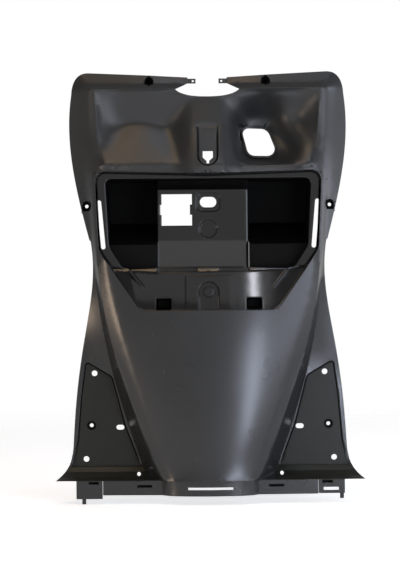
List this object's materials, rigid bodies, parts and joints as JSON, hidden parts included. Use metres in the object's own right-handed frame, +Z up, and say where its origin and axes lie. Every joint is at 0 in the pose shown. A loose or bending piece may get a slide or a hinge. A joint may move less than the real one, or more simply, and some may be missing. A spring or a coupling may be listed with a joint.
{
  "type": "scooter leg shield",
  "caption": "Thin moulded inner leg shield with an open glove box, a steering-lock scoop, a bag-hook seat, sunk trim-plate seats and a slotted foot flange.",
  "frame": {"origin": "midway between the two side screws, on the floor of their seats", "axes": "+Z up, +X to the right for someone on the seat, -Y towards the rider"},
  "size_m": [0.452, 0.1598, 0.634],
  "materials": {
    "moulded_plastic": "grained matt charcoal"
  },
  "bodies": {
    "root": {"leg_shield": "moulded_plastic"}
  },
  "joints": []
}
